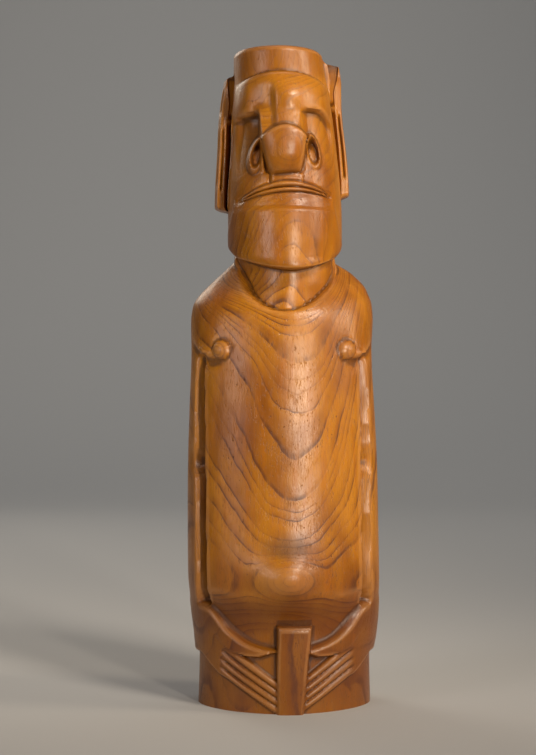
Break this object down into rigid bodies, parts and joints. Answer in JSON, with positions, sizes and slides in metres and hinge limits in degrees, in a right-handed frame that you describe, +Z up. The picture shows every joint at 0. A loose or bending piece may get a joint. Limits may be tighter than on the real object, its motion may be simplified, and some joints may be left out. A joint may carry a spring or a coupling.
{
  "type": "carved wooden moai figure",
  "caption": "Standing moai figure carved from one block of wood, with a long face, hanging ears, arms at the sides and hands meeting at a loincloth; it stands on its flat-sawn base.",
  "frame": {"origin": "middle of the flat-sawn underside, on the surface it stands on", "axes": "+Z up the figure, -Y is the front that the face and hands are carved on, +X is the viewer's right when facing it"},
  "size_m": [0.1186, 0.0992, 0.4],
  "materials": {
    "carved_wood": "Warm orange-brown hardwood with open dark grain, oiled and hand-polished to a soft shine, darker in the carved hollows."
  },
  "bodies": {
    "root": {"moai_figure": "carved_wood"}
  },
  "joints": []
}
